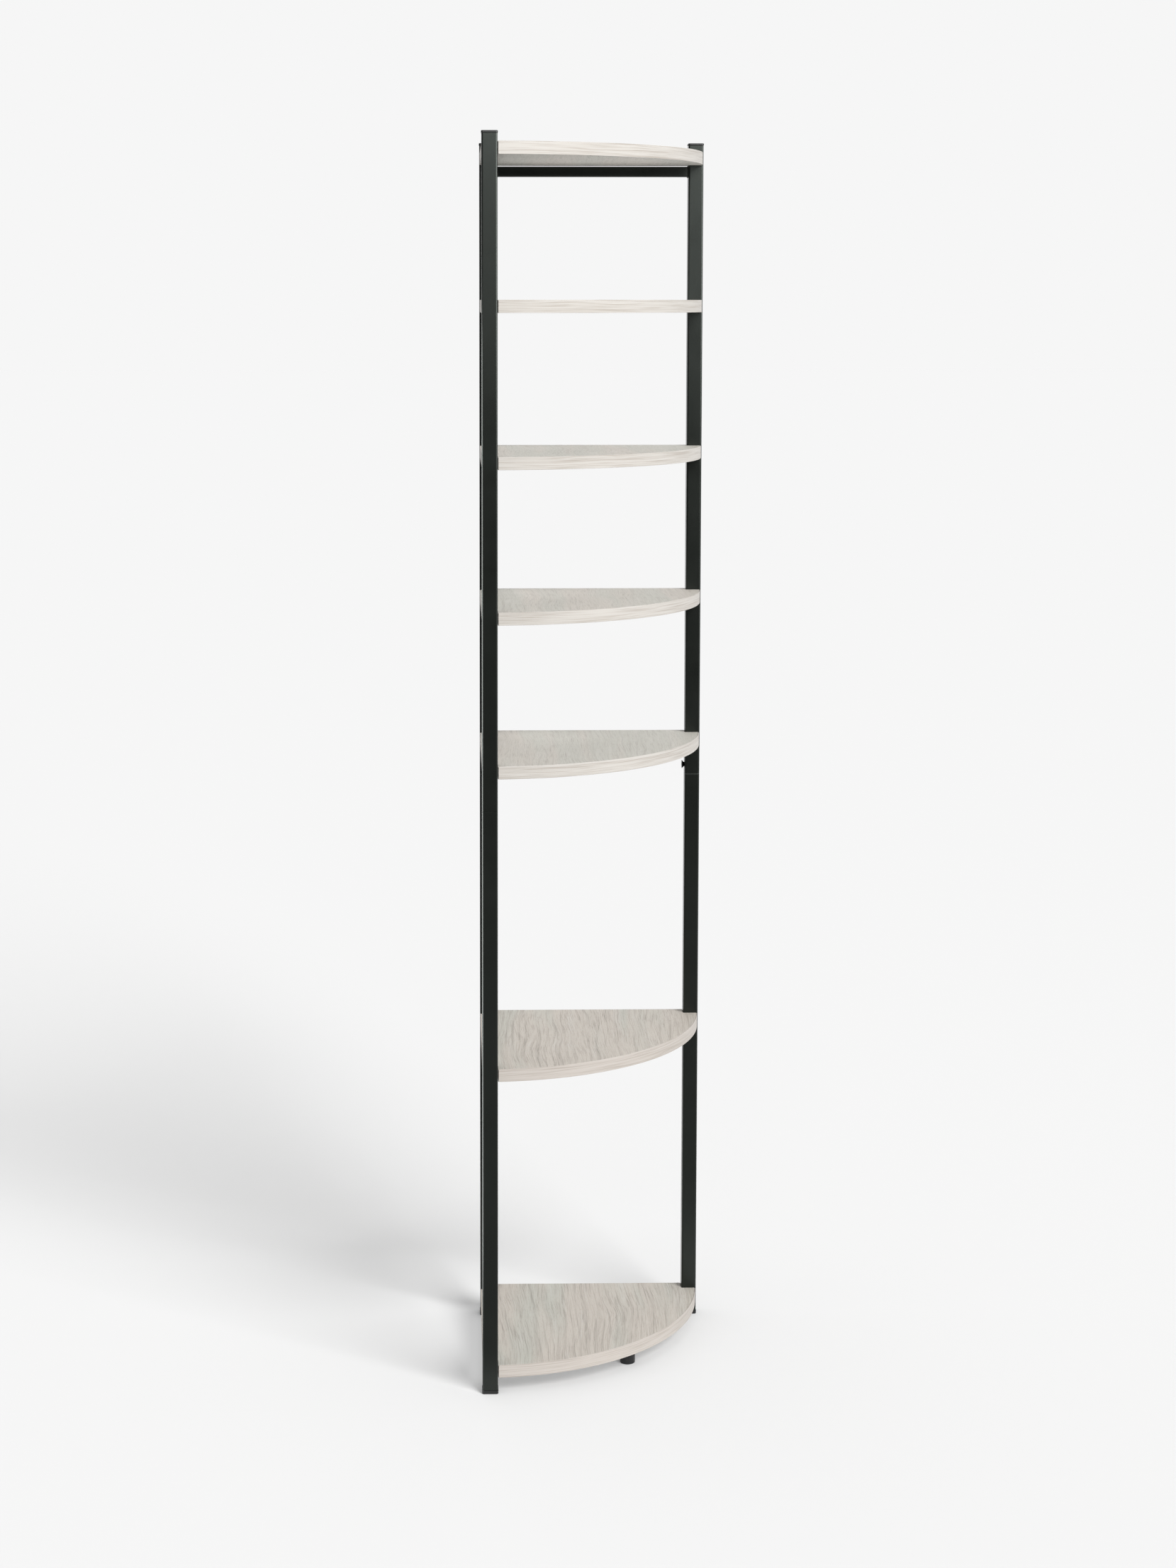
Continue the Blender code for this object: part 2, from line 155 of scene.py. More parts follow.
# What the room doesn't give the floor, the key light does
key_on_floor = ROOM_LIGHT / FLOOR_TONE - ROOM_LIGHT
rise, side = math.radians(KEY_HEIGHT), math.radians(KEY_SIDE)
to_key = Vector((math.sin(side) * math.cos(rise), -math.cos(side) * math.cos(rise), math.sin(rise)))
key_light = new_lamp("soft_key", "SUN", to_key * 4, Vector())
key_light.data.angle = math.radians(KEY_SIZE)
key_light.data.energy = key_on_floor * math.pi / math.sin(rise)
hide_from(key_light, "glossy")  # so bright a disc would burn white patches into the shelves
print("key light on the floor:", round(key_on_floor, 3))

new_panel("top_lamp", TOP_SPOT, TOP_AIM, TOP_SIDES, TOP_GLOW)

# %% [markdown]
# ## Hands and eyes
#
# Blender's operators act on what is selected, as they do under the mouse. These few
# helpers select one piece, or the faces or edges of it that lie in some place, and apply
# what was done to it, so that each step below stays a line or two.

# %% Selecting and finishing
def take_up(piece):
    """Leaves one object selected and active."""
    bpy.ops.object.select_all(action="DESELECT")
    piece.select_set(True)
    bpy.context.view_layer.objects.active = piece


def settle(piece):
    """Moves an object's place, turn and size into its mesh."""
    take_up(piece)
    bpy.ops.object.transform_apply(location=True, rotation=True, scale=True)
    return piece


def open_up(piece):
    """Takes a piece into edit mode with nothing selected."""
    take_up(piece)
    bpy.ops.object.mode_set(mode="EDIT")
    bpy.ops.mesh.select_all(action="DESELECT")


def close_up():
    bpy.ops.object.mode_set(mode="OBJECT")


def pick(kind, test):
    """Selects the open piece's faces or edges that pass the test, and returns how many."""
    bpy.ops.mesh.select_mode(type=kind)
    bpy.ops.mesh.select_all(action="DESELECT")
    mesh = bpy.context.edit_object.data
    shape = bmesh.from_edit_mesh(mesh)
    chosen = [part for part in {"FACE": shape.faces, "EDGE": shape.edges}[kind] if test(part)]
    for part in chosen:
        part.select_set(True)
    bmesh.update_edit_mesh(mesh)
    return len(chosen)


def runs_along(axis):
    """A test for edges that run along one axis."""
    def test(edge):
        step = edge.verts[1].co - edge.verts[0].co
        return all(abs(step[i]) < NEAR for i in range(3) if i != axis)
    return test


def lies_at(axis, place):
    """A test for faces or edges that lie whole at one place on an axis."""
    return lambda part: all(abs(vert.co[axis] - place) < NEAR for vert in part.verts)


def apply_steps(piece):
    """Applies every modifier of a piece, first to last."""
    take_up(piece)
    for step in list(piece.modifiers):
        bpy.ops.object.modifier_apply(modifier=step.name)


# %% Starting shapes
def new_block(name, low, high):
    """A cube stretched between two corners."""
    low, high = Vector(low), Vector(high)
    bpy.ops.object.select_all(action="DESELECT")
    bpy.ops.mesh.primitive_cube_add(size=1, location=(low + high) / 2)
    block = bpy.context.active_object
    block.name = block.data.name = name
    block.scale = high - low
    return settle(block)


def new_rod(name, radius, start, end, sides):
    """A cylinder from one point to another."""
    start, end = Vector(start), Vector(end)
    bpy.ops.object.select_all(action="DESELECT")
    bpy.ops.mesh.primitive_cylinder_add(
        vertices=sides,
        radius=radius,
        depth=(end - start).length,
        location=(start + end) / 2,
        rotation=(end - start).to_track_quat("Z", "Y").to_euler(),
    )
    rod = bpy.context.active_object
    rod.name = rod.data.name = name
    return settle(rod)


def joined(pieces):
    """Makes one object of several."""
    take_up(pieces[0])
    for piece in pieces:
        piece.select_set(True)
    bpy.ops.object.join()
    return bpy.context.active_object


def copied(piece, name, move, turn=(0, 0, 0)):
    """A copy with its own mesh, turned about the origin and then moved."""
    take_up(piece)
    bpy.ops.object.duplicate(linked=False)
    made = bpy.context.active_object
    made.name = made.data.name = name
    made.location = move
    made.rotation_euler = turn
    return settle(made)


# %% Cutting and easing
SHARP_FROM = 40  # degrees between faces, from which an edge is rounded
SMOOTH_UP_TO = 50  # degrees between faces, up to which they are shaded as one


def cut(piece, tool):
    """Cuts a tool's shape out of a piece and puts the tool away."""
    step = piece.modifiers.new("cut", "BOOLEAN")
    step.operation = "DIFFERENCE"
    step.solver = "EXACT"
    step.object = tool
    apply_steps(piece)
    bpy.data.objects.remove(tool)


def ease(piece, width, segments=2):
    """Rounds every sharp edge by a small width, and shades the piece as one smooth skin."""
    step = piece.modifiers.new("eased_edges", "BEVEL")
    step.width = width
    step.segments = segments
    step.limit_method = "ANGLE"
    step.angle_limit = math.radians(SHARP_FROM)
    apply_steps(piece)
    shade(piece)


def shade(piece):
    """Smooth shading that leaves large flat faces flat."""
    take_up(piece)
    bpy.ops.object.shade_smooth_by_angle(angle=math.radians(SMOOTH_UP_TO))
    step = piece.modifiers.new("flat_faces", "WEIGHTED_NORMAL")
    step.keep_sharp = True
    apply_steps(piece)


# %% [markdown]
# ## Node sums
#
# Surfaces like wood are sums of several patterns. Written with bare nodes such sums are
# hard to read, so a small class wraps one output of a node and lets it be added,
# subtracted and multiplied like a number: each sign adds a Math node. A finish holds the
# material itself and adds every other kind of node by one method.

# %% A value that varies over a surface
class Tone:
    """One output of a finish's nodes, which takes part in sums as a number does."""

    def __init__(self, finish, socket):
        self.finish, self.socket = finish, socket

    def __add__(self, other):
        return self.finish.sum("ADD", self, other)

    def __mul__(self, other):
        return self.finish.sum("MULTIPLY", self, other)

    def __sub__(self, other):
        return self.finish.sum("SUBTRACT", self, other)

    def __rsub__(self, other):
        return self.finish.sum("SUBTRACT", other, self)

    __radd__, __rmul__ = __add__, __mul__


# %% A material in the making
class Finish:
    """A material, its nodes and the shader that they feed."""

    def __init__(self, name, **constants):
        self.material = bpy.data.materials.new(name)
        self.material.use_nodes = True
        self.tree = self.material.node_tree
        self.shader = self.tree.nodes["Principled BSDF"]
        self.feed(self.shader, constants)

    def feed(self, made, values):
        """Sets a node's sockets, or links them where the value is a tone."""
        for key, value in values.items():
            socket = made.inputs[key.replace("_", " ") if isinstance(key, str) else key]
            if isinstance(value, Tone):
                self.tree.links.new(value.socket, socket)
            else:
                socket.default_value = value

    def node(self, kind, settings=None, values=None, out=0):
        """Adds a node, sets it up, feeds it, and returns one of its outputs."""
        made = self.tree.nodes.new(kind)
        for name, value in (settings or {}).items():
            setattr(made, name, value)
        self.feed(made, values or {})
        return Tone(self, made.outputs[out])

    def sum(self, operation, first, second=0.0):
        return self.node("ShaderNodeMath", {"operation": operation}, {0: first, 1: second})

    def place(self):
        """The piece's own coordinates in metres, as three tones."""
        spot = self.node("ShaderNodeTexCoord", out=3)
        apart = self.node("ShaderNodeSeparateXYZ", values={0: spot})
        outputs = apart.socket.node.outputs
        return [Tone(self, outputs[i]) for i in range(3)]

    def upright(self):
        """1 on upright faces and 0 on level ones."""
        facing = self.node("ShaderNodeNewGeometry", out=1)
        apart = self.node("ShaderNodeSeparateXYZ", values={0: facing}, out=2)
        return 1 - self.step(self.sum("ABSOLUTE", apart), 0.4, 0.8)

    def noise(self, spot, detail=2.0, roughness=0.5):
        """Cloudy noise, about 0.3 to 0.7, where one noise grain is one unit of the spot."""
        joined_up = self.node("ShaderNodeCombineXYZ", values=dict(enumerate(spot)))
        return self.node(
            "ShaderNodeTexNoise",
            {"noise_dimensions": "3D"},
            {0: joined_up, 2: 1.0, 3: detail, 4: roughness},
        )

    def step(self, tone, start, end):
        """A soft step from 0 to 1 as the tone goes from start to end."""
        return self.node(
            "ShaderNodeMapRange",
            {"interpolation_type": "SMOOTHSTEP"},
            {0: tone, 1: start, 2: end, 3: 0.0, 4: 1.0},
        )

    def mix(self, share, first, second):
        """A colour between two colours."""
        return self.node(
            "ShaderNodeMix", {"data_type": "RGBA"}, {0: share, 6: first, 7: second}, out=2
        )

    def relief(self, height, depth):
        """Feeds a height from 0 to 1 to the shader as relief of a depth in metres."""
        bump = self.node("ShaderNodeBump", values={0: 1.0, 1: depth, 3: height})
        self.feed(self.shader, {"Normal": bump})


def linear(red, green, blue, light=1.0):
    """A colour read off a screen, 0 to 255, as the shader's colour under a given light."""
    def one(value):
        share = value / 255
        return (share / 12.92 if share <= 0.04045 else ((share + 0.055) / 1.055) ** 2.4) / light
    return (one(red), one(green), one(blue), 1.0)


# %% [markdown]
# ## Grey oak laminate
#
# The shelves are chipboard faced with printed paper: pale oak whose colour wanders
# between a greenish and a pinkish grey in broad bands. On it lie long wavy growth lines,
# darker on one side, a fine fibre, and short pores. The grain runs from back to front.
# Every pattern is stretched along Y, and all of them follow the same bent coordinate, so
# that bands, lines and fibres bend together as they do in wood.
#
# The height of a shelf is part of the pattern, so the seven boards come out different. The
# two low boards are warmer than the five above them. The colours also take a share from a
# soft step in height, which is painted light: it makes the five upper boards and their
# edging lighter, and the boards less pink.

# %% Laminate
SHELF_LIGHT = 1.85  # what the room and the key light together give a shelf's top
EDGE_LIGHT = 2.26  # and its front edge, which faces the key light
GREEN_GREY = linear(197, 196, 186, SHELF_LIGHT)
PINK_GREY = linear(207, 199, 189, SHELF_LIGHT)
DARK_GRAIN = linear(146, 139, 130, SHELF_LIGHT)
# pale patches in the print, and the painted light that lightens the upper boards
PALE_PATCH_AND_PAINTED_LIGHT = linear(217, 213, 206, SHELF_LIGHT)
EDGE_WARM = linear(220, 212, 204, EDGE_LIGHT)
# the edging of the five upper boards, painted lighter
EDGE_UPPER_PAINTED_LIGHTER = linear(228, 223, 216, EDGE_LIGHT)
EDGE_DARK = linear(190, 181, 170, EDGE_LIGHT)


def upper_boards_painted_light(finish, z):
    """0 on the two low boards and 1 on the five above them: the share of painted light that makes
    the upper boards lighter.
    """
    return finish.step(z, 0.5, 0.85)


def edge_grain(finish, along, z):
    """The colour of the edging, its grain running along it, painted lighter on the five upper
    boards.
    """
    sway = finish.noise((along * 9, z * 30, 0.0)) - 0.5
    up = z + sway * 0.004
    bands = finish.step(finish.noise((along * 5, up * 330, 0.3), detail=3), 0.44, 0.66)
    threads = finish.step(finish.noise((along * 13, up * 1000, 0.7), detail=3), 0.46, 0.66)
    # painted light: the edging of the five upper boards is lighter
    tone = finish.mix(upper_boards_painted_light(finish, z), EDGE_WARM, EDGE_UPPER_PAINTED_LIGHTER)
    return finish.mix(bands * 0.26 + threads * 0.62, tone, EDGE_DARK)


laminate = Finish("grey_oak_laminate", Specular_IOR_Level=0.5)
x, y, z = laminate.place()
bend = laminate.noise((x * 6, y * 3, z * 3)) - 0.5
waver = laminate.noise((x * 24, y * 10, z * 3), detail=2) - 0.5
across = x + bend * 0.04 + waver * 0.005

# Broad bands from green to pink, dark streaks, and pale patches that shine a little
# painted light: the five upper boards are made lighter and less pink
upper_painted_light = upper_boards_painted_light(laminate, z)
warmth = laminate.noise((across * 21 + 1.6, y * 1.6, z * 5)) - upper_painted_light * 0.08
warmth = laminate.step(warmth, 0.34, 0.54)
streaks = laminate.step(laminate.noise((across * 210, y * 4, z * 7), detail=3), 0.50, 0.70)
shine = laminate.step(laminate.noise((across * 70, y * 8, z * 9 + 4), detail=3), 0.52, 0.70)

# Growth lines, dark on one side, and finer flames: each in some places only
rings = laminate.sum("FRACT", across * 105 + laminate.noise((across * 9, y * 2, z * 2 + 7)) * 6)
lines = laminate.step(rings, 0.55, 0.93) * (1 - laminate.step(rings, 0.93, 1.0))
figured = laminate.step(laminate.noise((across * 24, y * 6, z * 4 + 2)), 0.40, 0.62)
flames = laminate.sum("SINE", across * 1900 + laminate.noise((across * 30, y * 7, z * 2 + 3)) * 30)
flamed = laminate.step(laminate.noise((across * 18, y * 4, z * 6 + 8)), 0.42, 0.60)

# Short fibres, denser in tufts, and pores
strokes = laminate.step(laminate.noise((across * 860, y * 22, z * 9), detail=2), 0.48, 0.66)
tufts = laminate.step(laminate.noise((across * 60, y * 9, z * 6 + 5), detail=2), 0.36, 0.64)
pores = laminate.step(laminate.noise((across * 1500, y * 90, z * 9), detail=1), 0.60, 0.70)

# The colour of the broad faces, and the relief of all
face = laminate.mix(warmth, GREEN_GREY, PINK_GREY)
face = laminate.mix(shine * 0.35, face, PALE_PATCH_AND_PAINTED_LIGHT)
darkness = streaks * 0.22 + lines * figured * 0.30 + strokes * (0.18 + tufts * 0.22)
darkness += (flames + 1) * flamed * 0.045
face = laminate.mix(darkness + pores * 0.12, face, DARK_GRAIN)
# painted light: a lighter colour on the five upper boards
face = laminate.mix(upper_painted_light * 0.32, face, PALE_PATCH_AND_PAINTED_LIGHT)
trim = edge_grain(laminate, x + y, z)
upright = laminate.upright()
laminate.feed(
    laminate.shader,
    {
        "Base Color": laminate.mix(upright, face, trim),
        "Roughness": 0.54 + pores * 0.14 + strokes * 0.06,
    },
)
laminate.relief(1 - pores * 0.6 - strokes * 0.4, 0.05 * MM)

# %% [markdown]
# ## Oak edging
#
# The curved edge is closed by a thin band from a roll. Its printed grain runs along the
# roll, so on the shelf it follows the curve. The pattern therefore reads the angle round
# the shelf's corner, turned into a length, in place of X and Y.

# %% Edging
left_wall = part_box("corner_post_lower")[0].x
back_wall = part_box("corner_post_lower")[1].y
BAND_RADIUS = 329.5 * MM
print("shelf corner in mm:", round(left_wall / MM, 2), round(back_wall / MM, 2))

edging = Finish("grey_oak_edging")
x, y, z = edging.place()
round_corner = edging.sum("ARCTAN2", x - left_wall, back_wall - y)
along = round_corner * BAND_RADIUS
edging.feed(
    edging.shader,
    {
        "Base Color": edge_grain(edging, along + z * 3, z),  # z * 3 sets the seven bands apart
        "Roughness": 0.40 + edging.noise((along * 60, z * 900, 0.0)) * 0.16,
    },
)
edging.relief(edging.noise((along * 40, z * 1400, 0.0), detail=3), 0.03 * MM)

# %% [markdown]
# ## Black powder coat
#
# The tubes are steel with a baked powder coat: a satin black, a little green, with the
# faint orange-peel texture of powder that melted and flowed. Two sizes of noise make the
# relief, and a very broad one lets the gloss wander a little from place to place. On the
# right post a faint pale line along the seam is a painted highlight.

# %% Powder coat
def mottle(finish, grain):
    """Noise of one grain size, in metres, all over a piece."""
    x, y, z = finish.place()
    return finish.noise((x * (1 / grain), y * (1 / grain), z * (1 / grain)), detail=2)


COAT_BLACK = (0.0046, 0.0053, 0.0045, 1.0)
COAT_WORN = (0.0063, 0.0071, 0.0062, 1.0)
# the colour of the painted highlight along the seam
SEAM_HIGHLIGHT_TINT = (0.030, 0.033, 0.031, 1.0)
SEAM_LINE = 0.45 * MM  # how far the painted highlight reaches from the seam
SEAM_HIGHLIGHT_FROM = (0.0, 0.05)  # on X, where the painted highlight sets in: only the right post lies beyond

powder = Finish(
    "black_powder_coat", Specular_IOR_Level=0.42, Specular_Tint=(0.91, 1.0, 0.93, 1)
)
peel = mottle(powder, 1.6 * MM)
speckle = mottle(powder, 0.35 * MM)
cloud = mottle(powder, 45 * MM)
x, y, z = powder.place()
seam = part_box("right_post_lower")[1].z
from_seam = powder.sum("ABSOLUTE", z - seam)
# painted highlight: a faint pale line along the right post's seam
seam_highlight = (1 - powder.step(from_seam, SEAM_LINE, 2 * SEAM_LINE)) * powder.step(x, *SEAM_HIGHLIGHT_FROM)
coat = powder.mix(cloud, COAT_BLACK, COAT_WORN)
powder.feed(
    powder.shader,
    {
        "Base Color": powder.mix(seam_highlight * (0.4 + cloud), coat, SEAM_HIGHLIGHT_TINT),
        "Roughness": 0.30 + (cloud - 0.5) * 0.12 + (speckle - 0.5) * 0.08,
    },
)
powder.relief(peel * 0.7 + speckle * 0.3, 0.02 * MM)

# %% [markdown]
# ## Black plastic
#
# Caps, glides and the round foot are moulded. The mould leaves a fine even grain, duller
# than the powder coat.

# %% Plastic
plastic = Finish("black_plastic", Specular_IOR_Level=0.45)
grain = mottle(plastic, 0.5 * MM)
flow = mottle(plastic, 18 * MM)
plastic.feed(
    plastic.shader,
    {
        "Base Color": plastic.mix(flow, (0.0055, 0.0056, 0.0057, 1), (0.0085, 0.0087, 0.0088, 1)),
        "Roughness": 0.42 + (grain - 0.5) * 0.2,
    },
)
plastic.relief(grain, 0.02 * MM)

# %% [markdown]
# ## Screws
#
# The joint screws have a black oxide skin over steel, the shelf screws a bright zinc
# coat with faint yellow patches. Both are metals: their colour is the colour of what
# they reflect, so the nodes change the tint and the gloss.

# %% Screw finishes
oxide = Finish("black_screw_steel", Metallic=1.0)
skin = mottle(oxide, 0.8 * MM)
oxide.feed(
    oxide.shader,
    {
        "Base Color": oxide.mix(skin, (0.022, 0.022, 0.024, 1), (0.05, 0.05, 0.053, 1)),
        "Roughness": 0.30 + skin * 0.2,
    },
)

zinc = Finish("zinc_plated_steel", Metallic=1.0)
bloom = mottle(zinc, 1.5 * MM)
zinc.feed(
    zinc.shader,
    {
        "Base Color": zinc.mix(bloom, (0.60, 0.61, 0.62, 1), (0.66, 0.63, 0.55, 1)),
        "Roughness": 0.24 + mottle(zinc, 0.4 * MM) * 0.25,
    },
)
print("finishes:", len(bpy.data.materials))


# %% Dressing a piece
def dress(piece, slot, finish, *nodes):
    """Gives a piece its finish in a new slot, and says which CAD nodes it stands for. The slot
    argument is not used.
    """
    piece.data.materials.clear()
    piece.data.materials.append(finish.material)
    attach(piece, "root")
    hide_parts(*nodes)


# %% [markdown]
# ## Shelf boards
#
# A board is a quarter of a disc with a square notch for each post. It could be drawn as
# an outline and thickened, but it is made as in the workshop: a full disc is sawn along
# the two walls, and the notches are cut out. A last small bevel takes the sharpness off
# the laminate's edges, which is what catches the light on the real board.

# %% One board, and its copies
BOARD_RADIUS = 328.2 * MM
WALL_GAP = 0.5 * MM  # between a board's straight edges and the walls
NOTCH_GAP = 0.3 * MM
ARC_SIDES = 512  # in the full disc
BOARD_EASE = 0.35 * MM

low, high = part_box("shelf_1_board")
board = new_rod(
    "oak_board_1",
    BOARD_RADIUS,
    (left_wall, back_wall, low.z),
    (left_wall, back_wall, high.z),
    ARC_SIDES,
)
open_up(board)
bpy.ops.mesh.select_all(action="SELECT")
bpy.ops.mesh.bisect(
    plane_co=(left_wall + WALL_GAP, 0, 0), plane_no=(1, 0, 0), use_fill=True, clear_inner=True
)
bpy.ops.mesh.select_all(action="SELECT")
bpy.ops.mesh.bisect(
    plane_co=(0, back_wall - WALL_GAP, 0), plane_no=(0, 1, 0), use_fill=True, clear_outer=True
)
close_up()

notches = []
for post in POSTS:
    tube_low, tube_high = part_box(f"{post}_post_upper")
    gap = Vector((NOTCH_GAP, NOTCH_GAP, 0))
    notches.append(new_block(f"notch_{post}", tube_low - gap, tube_high + gap))
cut(board, joined(notches))
ease(board, BOARD_EASE)

boards = {1: board}
for number in SHELVES[1:]:
    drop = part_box(f"shelf_{number}_board")[0].z - low.z
    boards[number] = copied(board, f"oak_board_{number}", (0, 0, drop))
for number, piece in boards.items():
    dress(piece, "grey_oak_laminate", laminate, f"shelf_{number}_board")
print("boards:", len(boards), "faces each:", len(board.data.polygons))

# %% [markdown]
# ## Edge bands
#
# The band is a strip 1 mm thick that follows the curve. A small upright rectangle is spun
# round the corner of the walls, which sweeps it along the curve and closes both ends. The
# corners of its two ends are rounded more than its long edges, as a hand file leaves them.

# %% One band, and its copies
BAND = 1 * MM
BAND_END_GAP = 1.2 * MM  # from the band's end to the post
BAND_STEPS = 120
END_ROUND = 1.2 * MM
BAND_EASE = 0.3 * MM
MERGE = 0.001 * MM  # corners of the sweep nearer than this become one

low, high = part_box("shelf_1_edge_band")
post_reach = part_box("front_post_upper")[1].x - left_wall + BAND_END_GAP
start = math.asin(post_reach / BAND_RADIUS)
sweep = math.pi / 2 - 2 * start
middle = BAND_RADIUS - BAND / 2
bpy.ops.object.select_all(action="DESELECT")
bpy.ops.mesh.primitive_plane_add(
    size=1,
    location=(
        left_wall + middle * math.sin(start),
        back_wall - middle * math.cos(start),
        (low.z + high.z) / 2,
    ),
    rotation=(0, math.pi / 2, start),
)
band = bpy.context.active_object
band.name = band.data.name = "oak_band_1"
band.scale = (high.z - low.z, BAND, 1)
settle(band)
open_up(band)
bpy.ops.mesh.select_all(action="SELECT")
bpy.ops.mesh.spin(
    steps=BAND_STEPS, angle=sweep, center=(left_wall, back_wall, 0), axis=(0, 0, -1)
)
bpy.ops.mesh.select_all(action="SELECT")
bpy.ops.mesh.remove_doubles(threshold=MERGE)
bpy.ops.mesh.normals_make_consistent(inside=False)


def at_band_end(edge):
    """True for the short edges across the band's thickness."""
    across = abs((edge.verts[0].co - edge.verts[1].co).length - BAND) < NEAR
    return across and all(len(vert.link_edges) == 3 for vert in edge.verts)


ends = pick("EDGE", at_band_end)
bpy.ops.mesh.bevel(offset=END_ROUND, segments=4, affect="EDGES")
close_up()
ease(band, BAND_EASE)

bands = {1: band}
for number in SHELVES[1:]:
    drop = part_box(f"shelf_{number}_edge_band")[0].z - low.z
    bands[number] = copied(band, f"oak_band_{number}", (0, 0, drop))
for number, piece in bands.items():
    dress(piece, "grey_oak_edging", edging, f"shelf_{number}_edge_band")
print("bands:", len(bands), "end edges rounded:", ends)

# %% [markdown]
# ## Posts
#
# Each post is two lengths of square tube, 22 mm with a 1.2 mm wall. A block gets its four
# long edges rounded, loses its ends and is then given a wall, inwards, so that the outside
# keeps its size. The holes are drilled last: a wide one in the face to the wall, for the
# head of each shelf screw and its key, and a narrow one opposite for its shank.

# %% Tubes
TUBE_CORNER = 2.5 * MM
TUBE_WALL = 1.2 * MM
TUBE_EASE = 0.4 * MM
ACCESS_HOLE = 5.5 * MM  # radius
SHANK_HOLE = 2.8 * MM  # radius
JOINT_HOLE = 3.3 * MM  # radius
HOLE_SIDES = 40
OVERRUN = 5 * MM
WALL_SIDE = {"corner": Vector((0, 1, 0)), "front": Vector((-1, 0, 0)), "right": Vector((0, 1, 0))}


def new_tube(name, low, high, axis, corner, wall):
    """A square tube with rounded long edges, open at both ends."""
    tube = new_block(name, low, high)
    open_up(tube)
    pick("EDGE", runs_along(axis))
    bpy.ops.mesh.bevel(offset=corner, segments=6, affect="EDGES")
    pick("FACE", lambda face: abs(face.normal[axis]) > 0.9)
    bpy.ops.mesh.delete(type="FACE")
    close_up()
    step = tube.modifiers.new("wall", "SOLIDIFY")
    step.thickness = wall
    step.offset = -1
    apply_steps(tube)
    return tube


def drills_for(post, low, high):
    """The drills that cut the screw holes of a tube between two corners."""
    drills = []
    centre = (low + high) / 2
    out = WALL_SIDE[post]
    reach = (high.x - low.x) / 2 + OVERRUN
    for number in SHELVES:
        board_low, board_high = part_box(f"shelf_{number}_board")
        height = (board_low.z + board_high.z) / 2
        if low.z < height < high.z:
            axis = Vector((centre.x, centre.y, height))
            drills.append(new_rod("drill", ACCESS_HOLE, axis, axis + out * reach, HOLE_SIDES))
            drills.append(new_rod("drill", SHANK_HOLE, axis - out * reach, axis, HOLE_SIDES))
    screw_low, screw_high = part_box(f"{post}_joint_screw")
    if low.z < screw_low.z < high.z:
        screw = (screw_low + screw_high) / 2
        axis = Vector((centre.x, centre.y, screw.z))
        inward = Vector((screw.x - centre.x, screw.y - centre.y, 0)).normalized()
        drills.append(new_rod("drill", JOINT_HOLE, axis, axis + inward * reach, HOLE_SIDES))
    return drills


for post in POSTS:
    for part in ("lower", "upper"):
        low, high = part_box(f"{post}_post_{part}")
        tube = new_tube(f"{post}_tube_{part}", low, high, 2, TUBE_CORNER, TUBE_WALL)
        cut(tube, joined(drills_for(post, low, high)))
        ease(tube, TUBE_EASE)
        dress(tube, "black_powder_coat", powder, f"{post}_post_{part}")
        print(tube.name, "faces:", len(tube.data.polygons))

# %% [markdown]
# ## Rails
#
# Two thinner tubes tie the posts together under the top shelf. They are welded on, so
# each end has a low bead all round. The bead is drawn as a bent wire: the rail's outline
# becomes a curve whose thickness goes up and down from point to point, as the ripples of
# a weld do, and the curve is then made a mesh and joined to the rail.

# %% Rails and their weld beads
RAIL_CORNER = 1.5 * MM
RAIL_WALL = 1.2 * MM
RAIL_EASE = 0.2 * MM
BEAD = 1.2 * MM  # radius
BEAD_DIP = 0.82  # the radius between two ripples, as a share
RIPPLES = 11  # on each side of the rail


def weld_bead(name, centre, side, axis):
    """A rippled bead round a rail's end, in the plane across the axis."""
    turn = (0, math.pi / 2, 0) if axis == 0 else (math.pi / 2, 0, 0)
    bpy.ops.object.select_all(action="DESELECT")
    bpy.ops.mesh.primitive_plane_add(size=side, location=centre, rotation=turn)
    wire = settle(bpy.context.active_object)
    open_up(wire)
    bpy.ops.mesh.select_all(action="SELECT")
    bpy.ops.mesh.bevel(offset=RAIL_CORNER, segments=3, affect="VERTICES")
    pick("EDGE", lambda edge: edge.calc_length() > 2 * RAIL_CORNER)
    bpy.ops.mesh.subdivide(number_cuts=2 * RIPPLES)
    bpy.ops.mesh.select_all(action="SELECT")
    bpy.ops.mesh.delete(type="ONLY_FACE")
    close_up()
    take_up(wire)
    bpy.ops.object.convert(target="CURVE")
    wire = bpy.context.active_object
    wire.name = name
    wire.data.bevel_depth = BEAD
    wire.data.bevel_resolution = 3
    for number, point in enumerate(wire.data.splines[0].points):
        point.radius = 1.0 if number % 2 else BEAD_DIP
    bpy.ops.object.convert(target="MESH")
    return bpy.context.active_object


for node, axis in (("back_rail", 0), ("left_rail", 1)):
    low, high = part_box(node)
    rail = new_tube(f"{node}_tube", low, high, axis, RAIL_CORNER, RAIL_WALL)
    ease(rail, RAIL_EASE)
    beads = []
    for end in (low[axis], high[axis]):
        centre = (low + high) / 2
        centre[axis] = end
        beads.append(weld_bead("bead", centre, high.z - low.z, axis))
        shade(beads[-1])
    rail = joined([rail, *beads])
    dress(rail, "black_powder_coat", powder, node)
    print(rail.name, "faces:", len(rail.data.polygons))

# %% [markdown]
# ## Caps and glides
#
# A cap closes the top of each post and a glide its foot. Both are one moulding: a flat
# square head a little wider than the tube, its outer rim rounded, with a plug that grips
# inside. The head starts as a block, and the plug grows out of its inner face by an inset
# and an extrusion.

# %% Plugged ends
TUBE_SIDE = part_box("front_post_upper")[1].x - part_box("front_post_upper")[0].x
HEAD_CORNER = 3 * MM
HEAD_EASE = 0.2 * MM
CAP_RIM = 0.8 * MM
GLIDE_RIM = 1 * MM
PLUG_GAP = 0.3 * MM
CAP_GAP = 0.3 * MM
GLIDE_GAP = 0.1 * MM  # a glide is pressed home by the weight above it


